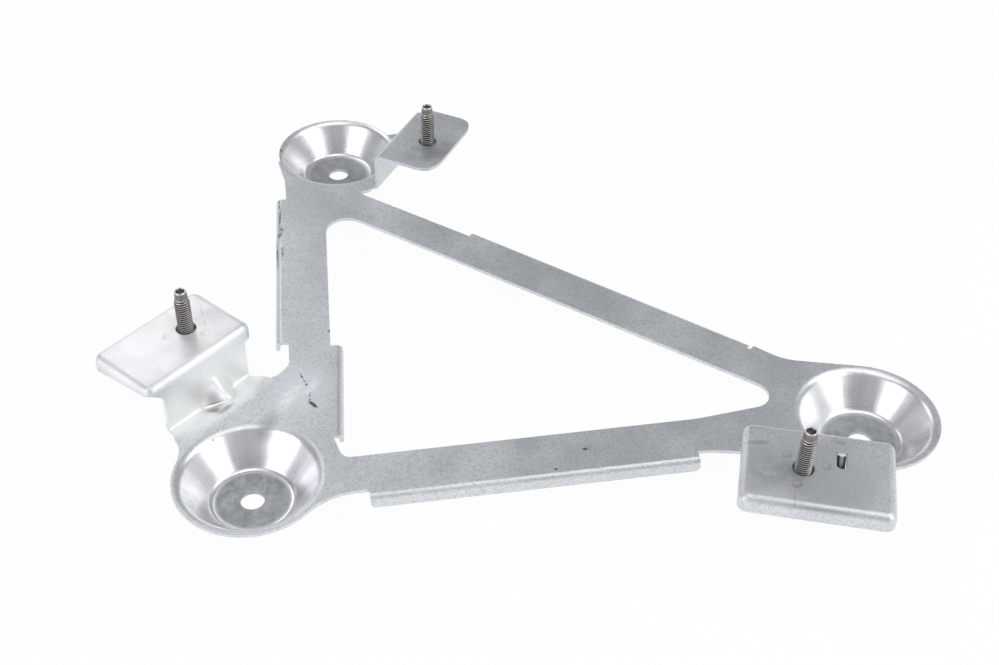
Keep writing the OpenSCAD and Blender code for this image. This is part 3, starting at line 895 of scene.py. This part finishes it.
# %% Weld rings
WELD_GREY = (0.40, 0.42, 0.46)
rings = []
for mark in weld_marks:
    centre = tuple(c / MM for c in mark)
    outer = patch(tree, where, centre, (1.9, 1.9, 1.2), 0, 0.18)
    inner = patch(tree, where, centre, (1.25, 1.25, 1.2), 0, 0.25)
    rings.append(maths(tree, "SUBTRACT", outer, maths(tree, "MULTIPLY", inner, 0.6), clamp=True))
faint = maths(tree, "MULTIPLY", most(tree, rings[:3]), 0.2)
clear = maths(tree, "MULTIPLY", most(tree, rings[3:]), 0.6)
colour = tint(tree, maths(tree, "ADD", faint, clear), colour, WELD_GREY)
print("zinc: with", len(rings), "weld rings in", len(tree.nodes), "nodes")

# %% Smudges, and a painted reflection beside the right stud
SMUDGE_AND_REFLECTION_GREY = (0.40, 0.42, 0.44)
smudges_and_painted_reflection = patches(tree, where, [
    ((180.0, -24.3, TAB_TOP), (4.2, 0.9, 2), -8, 0.6),
    # Painted reflection: a dark cloud beside the right stud, where the tab mirrors the stud.
    ((181.0, -39.0, TAB_TOP), (11, 5.5, 2), 12, 0.8),
    ((208.9, -28.4, TAB_TOP), (2.6, 1.0, 2), -30, 0.6),
    ((184.7, -53.0, TAB_TOP), (0.4, 2.6, 2), -15, 0.6),
    ((86.0, 170.0, TAB_TOP), (12, 6, 2), 20, 0.9)])
smudges_and_painted_reflection = broken(tree, smudges_and_painted_reflection, where, 210, 0.3, 0.6, 4, 0.6)
colour = lay(tree, colour, smudges_and_painted_reflection, 0.6, SMUDGE_AND_REFLECTION_GREY)
print("zinc: with the smudges in", len(tree.nodes), "nodes")

# %% Specks, scratch and smears
SOOT, HAIRLINE_GREY = (0.075, 0.062, 0.078), (0.5, 0.5, 0.54)
specks = patches(tree, where, [
    ((-12.7, 20.7, FRAME_TOP), (0.7, 0.7, 1.5), 0, 0.3),
    ((122.6, -3.1, FRAME_TOP), (0.9, 0.7, 1.5), 0, 0.3),
    ((110.1, -11.7, FRAME_TOP), (0.6, 0.5, 1.5), 0, 0.5),
    ((33.6, 75.5, FRAME_TOP), (0.45, 0.7, 1.5), 0, 0.4),
    ((24.8, 34.0, FRAME_TOP), (0.75, 2.4, 1.5), 37, 0.3)])
scratch = patches(tree, where, [
    ((21.3, 50.4, FRAME_TOP), (0.38, 2.9, 1.5), 18, 0.4),
    ((23.1, 44.8, FRAME_TOP), (0.42, 3.7, 1.5), 17, 0.4),
    ((23.9, 38.6, FRAME_TOP), (0.38, 3.4, 1.5), -4, 0.4)])
scratch = broken(tree, scratch, where, 700, 0.43, 0.50)
smear = patches(tree, where, [
    ((17.2, 164.5, 14), (0.45, 3.6, 3), 0, 0.4),
    ((17.0, 152.0, 14), (0.45, 8.0, 3), -4, 0.5),
    ((17.0, 143.5, 14), (0.9, 3.8, 3), -12, 0.6),
    ((14.9, 130.0, 12), (0.6, 10.0, 4), 0, 0.6),
    ((17.2, 129.5, 14), (0.4, 3.0, 3), 0, 0.6),
    ((19.8, 206.9, 14), (0.5, 1.2, 2), 15, 0.6)])
smear = maths(tree, "MULTIPLY", broken(tree, smear, where, 260, 0.30, 0.56, 3, 0.6), 0.85)
dark = most(tree, [specks, scratch, smear])
colour = lay(tree, colour, dark, 0.88, SOOT)
hairline = patch(tree, where, (-14.2, 69.7, TAB_TOP), (0.3, 7.8, 1.5), 9.7, 0.5)
colour = lay(tree, colour, broken(tree, hairline, where, 500, 0.38, 0.52), 0.4, HAIRLINE_GREY)
print("zinc: with the dark marks in", len(tree.nodes), "nodes")

# %% [markdown]
# The slot beside the tongue is so narrow that on the real part almost no light comes out of it.
# The white floor below would shine through, so the walls of the slot are made nearly black
# below the tab's top. A strip along the tongue stays lighter, because it faces the light.

# %% Dark slot round the tongue
SLOT_BLACK = (0.035, 0.033, 0.035)
height = add_node(tree, "SeparateXYZ")
link(tree, where, height.inputs[0])
below = until(tree, height.outputs["Z"], TAB_TOP - 0.4, TAB_TOP - 0.08)
room_of_slot = patch(tree, where, at("right", 11.7, 42.9, TAB_TOP - 4), (2.6, 6.3, 11), TURNS["right"], 0.05)
strip = patch(tree, where, at("right", 11.6, 41.2, TAB_TOP - 2.0), (0.75, 2.6, 3.0), TURNS["right"], 0.35)
slot = maths(tree, "SUBTRACT", maths(tree, "MULTIPLY", room_of_slot, below),
             maths(tree, "MULTIPLY", strip, 0.75), clamp=True)
colour = lay(tree, colour, slot, 0.93, SLOT_BLACK)
print("zinc: with the slot in", len(tree.nodes), "nodes")

# %% Bright scuffs beside the left web
SCUFF_WHITE = (0.98, 0.99, 0.99)
scuff = patches(tree, where, [
    ((16.6, 39.8, FRAME_TOP), (2.8, 8.5, 1.5), -32, 0.5),
    ((24.2, 43.5, FRAME_TOP), (2.0, 4.5, 1.5), -35, 0.6)])
colour = lay(tree, colour, broken(tree, scuff, where, 800, 0.44, 0.51, 3, 0.8), 0.9, SCUFF_WHITE)
print("zinc: with the scuffs in", len(tree.nodes), "nodes")

# %% [markdown]
# ## From colour to metal
#
# Roughness and bump finish the metal. Drawn walls are smoother than flats, dark smears are
# dull, and the bump is only the fine grain of the coating: about a hundredth of a millimetre.
# Inside the painted light on the left tab and web the sheet is a little less metallic than the
# rest, so that these places render lighter and don't mirror the dark parts of the room.

# %% Helpers that finish a metal
def metal_surface(tree, output, colour, rough, metallic, height, bump_strength, bump_depth):
    """A metal from its colour, its roughness and a bump of a given depth in metres."""
    bump = add_node(tree, "Bump", Strength=bump_strength, Distance=bump_depth)
    link(tree, height, bump.inputs["Height"])
    surface = add_node(tree, "BsdfPrincipled")
    for label, source in (("Base Color", colour), ("Roughness", rough), ("Normal", bump)):
        link(tree, source, surface.inputs[label])
    if isinstance(metallic, float):
        surface.inputs["Metallic"].default_value = metallic
    else:
        link(tree, metallic, surface.inputs["Metallic"])
    link(tree, surface, output.inputs["Surface"])


def put_on(material, thing):
    """Gives an object this material and no other."""
    thing.data.materials.clear()
    thing.data.materials.append(material)


# %% Shader of the sheet
METAL = 0.9
all_walls = most(tree, walls)
rough = remap(tree, cloud, 0.3, 0.7, 0.40, 0.50)
rough = maths(tree, "SUBTRACT", rough, maths(tree, "MULTIPLY", all_walls, 0.15))
rough = maths(tree, "ADD", rough, maths(tree, "MULTIPLY", dark, 0.25), clamp=True)
height = maths(tree, "ADD", grain, maths(tree, "MULTIPLY", speck, 0.8))
off_walls = maths(tree, "SUBTRACT", 1.0, maths(tree, "MULTIPLY", all_walls, 0.8))
height = maths(tree, "MULTIPLY", height, off_walls)
whiter_tab = maths(tree, "MULTIPLY", tab_painted_light, 0.25)
whiter_web = maths(tree, "MULTIPLY", web_painted_light, 0.22)
metallic = maths(tree, "SUBTRACT", METAL, maths(tree, "ADD", whiter_tab, whiter_web), clamp=True)
metal_surface(tree, output, colour, rough, metallic, height, 0.34, 0.00012)
for thing in (pressed_sheet, frame["nodes"]["pressed_frame"]):
    put_on(zinc, thing)
print("zinc:", len(tree.nodes), "nodes in all")

# %% [markdown]
# ## Stud steel
#
# The studs are plain steel, darker and browner than the sheet. The light on their threads is
# painted: a painted highlight on the crests, painted shade in the roots, and at the tip a painted
# highlight on its rim and painted shade in its hollow. The distance from the stud's axis tells
# crest from root, so one material serves all three studs by reading each one's axis. At the
# taper the crests are cut lower, so the distance is compared with the radius left there.

# %% Masks of the studs
steel, tree, output = new_material("stud_steel")
where = add_node(tree, "TexCoord").outputs["Object"]
crests, cones, tips, hollows = [], [], [], []
for name, centre in stud_at.items():
    across, radius, height = round_axis(tree, where, centre)
    near = until(tree, radius, 6, 7)
    above = maths(tree, "MAXIMUM", maths(tree, "SUBTRACT", height, TAPER_START * MM), 0.0)
    crest_here = maths(tree, "SUBTRACT", CREST_R * MM, maths(tree, "MULTIPLY", above, TAPER_SLOPE))
    tooth = remap(tree, maths(tree, "DIVIDE", radius, crest_here), 0.90, 1.0)
    crests.append(maths(tree, "MULTIPLY", near, tooth))
    upper = maths(tree, "MULTIPLY", near, from_mm(tree, height, SHANK_TOP - 0.6, SHANK_TOP))
    cones.append(upper)
    tips.append(maths(tree, "MULTIPLY", upper, from_mm(tree, height, 17.7, 18.2)))
    hollows.append(maths(tree, "MULTIPLY", upper, until(tree, radius, 1.45, 1.75)))
print("steel: masks in", len(tree.nodes), "nodes")

# %% Shader of the studs
ROOT_SHADE_DARK, ROOT_SHADE_BROWN = (0.022, 0.019, 0.018), (0.06, 0.054, 0.05)
CREST, CONE, TIP_RIM = (0.55, 0.53, 0.51), (0.20, 0.19, 0.182), (0.72, 0.71, 0.70)
HOLLOW, STEEL_GRAIN = (0.07, 0.063, 0.06), (0.48, 0.45, 0.42)

grain = noise(tree, where, 1400, 5, 0.7)
shade_mottle = noise(tree, where, 260, 3, 0.6)
# Painted shade: the stud starts nearly black, and its roots keep that.
colour = tint(tree, remap(tree, shade_mottle, 0.35, 0.65), ROOT_SHADE_DARK, ROOT_SHADE_BROWN)
# Painted highlights on the crests and the tip's rim, and painted shade in the tip's hollow.
layers = ((crests, 0.95, CREST), (cones, 0.9, CONE), (tips, 0.9, TIP_RIM), (hollows, 0.95, HOLLOW))
for masks, strength, over in layers:
    colour = lay(tree, colour, most(tree, masks), strength, over)
colour = tint(tree, remap(tree, grain, 0.5, 0.7, 0, 0.25), colour, STEEL_GRAIN)
rough = remap(tree, grain, 0.35, 0.65, 0.30, 0.46)
metal_surface(tree, output, colour, rough, METAL, grain, 0.3, 0.0001)
for name, made in studs.items():
    put_on(steel, made)
    put_on(steel, frame["nodes"]["weld_stud_" + name])
print("steel:", len(tree.nodes), "nodes in all")

# %% [markdown]
# ## View settings and the size of the result
#
# The Standard view transform shows a colour as it was written. The box of the dressed model is
# kept beside the box of the frame, and how much it grows is printed.

# %% Closing
bpy.context.scene.view_settings.view_transform = "Standard"
shown_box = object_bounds()
growth = [[round((b - a) / MM, 2) for a, b in zip(x, y)] for x, y in zip(cad_box, shown_box)]
print("box grows by", growth, "mm")
